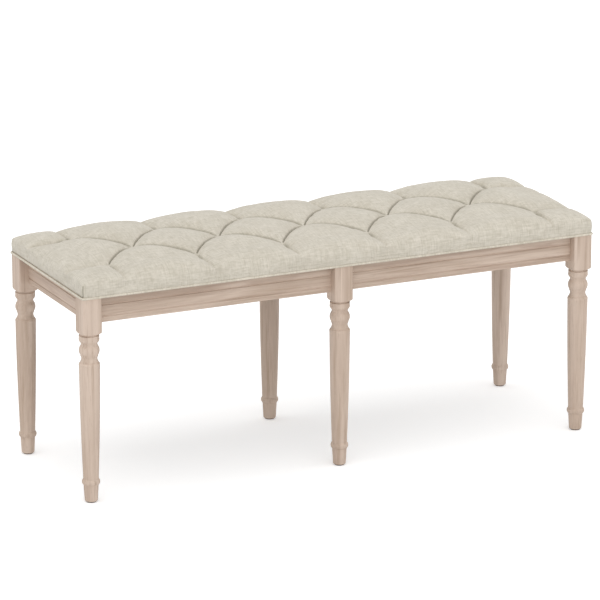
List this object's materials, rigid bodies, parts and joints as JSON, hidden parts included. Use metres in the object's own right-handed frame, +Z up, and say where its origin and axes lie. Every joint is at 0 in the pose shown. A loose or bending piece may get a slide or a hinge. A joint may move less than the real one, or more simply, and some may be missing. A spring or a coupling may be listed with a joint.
{
  "type": "upholstered bench",
  "caption": "Long, narrow wooden bench with turned legs, moulded rails and a diamond-tufted linen seat with a welt.",
  "frame": {"origin": "on the floor, under the middle of the bench", "axes": "+X along the length to the right, +Y to the back, +Z up"},
  "size_m": [1.1222, 0.3792, 0.4775],
  "materials": {
    "leg_wood": "whitewashed oak with a fine brushed grain, matt",
    "rail_wood": "whitewashed oak with long wavy grain, matt",
    "inner_wood": "raw hardwood, unfinished",
    "plywood": "raw plywood",
    "linen": "natural linen with a slubby plain weave",
    "foam": "open-cell foam",
    "wadding": "polyester wadding",
    "lining": "black non-woven cloth",
    "steel": "zinc plated",
    "glide_plastic": "smooth brown plastic",
    "twine": "waxed twine",
    "toggle_plastic": "plain white plastic"
  },
  "bodies": {
    "root": {"leg_front_left": "leg_wood", "leg_front_middle": "leg_wood", "leg_front_right": "leg_wood", "leg_back_left": "leg_wood", "leg_back_middle": "leg_wood", "leg_back_right": "leg_wood", "front_rail_left": "rail_wood", "front_rail_right": "rail_wood", "back_rail_left": "rail_wood", "back_rail_right": "rail_wood", "end_rail_left": "rail_wood", "end_rail_right": "rail_wood", "cross_rail": "inner_wood", "corner_block_front_left": "inner_wood", "corner_block_front_right": "inner_wood", "corner_block_back_left": "inner_wood", "corner_block_back_right": "inner_wood", "rail_dowels": "inner_wood", "seat_board": "plywood", "seat_cover": "linen", "seat_welt": "linen", "foam_pad": "foam", "batting": "wadding", "dust_cover": "lining", "corner_bolts": "steel", "corner_washers": "steel", "corner_nuts": "steel", "block_screws": "steel", "seat_screws": "steel", "foot_glides": "glide_plastic", "tuft_twines": "twine", "tuft_toggles": "toggle_plastic"}
  },
  "joints": []
}
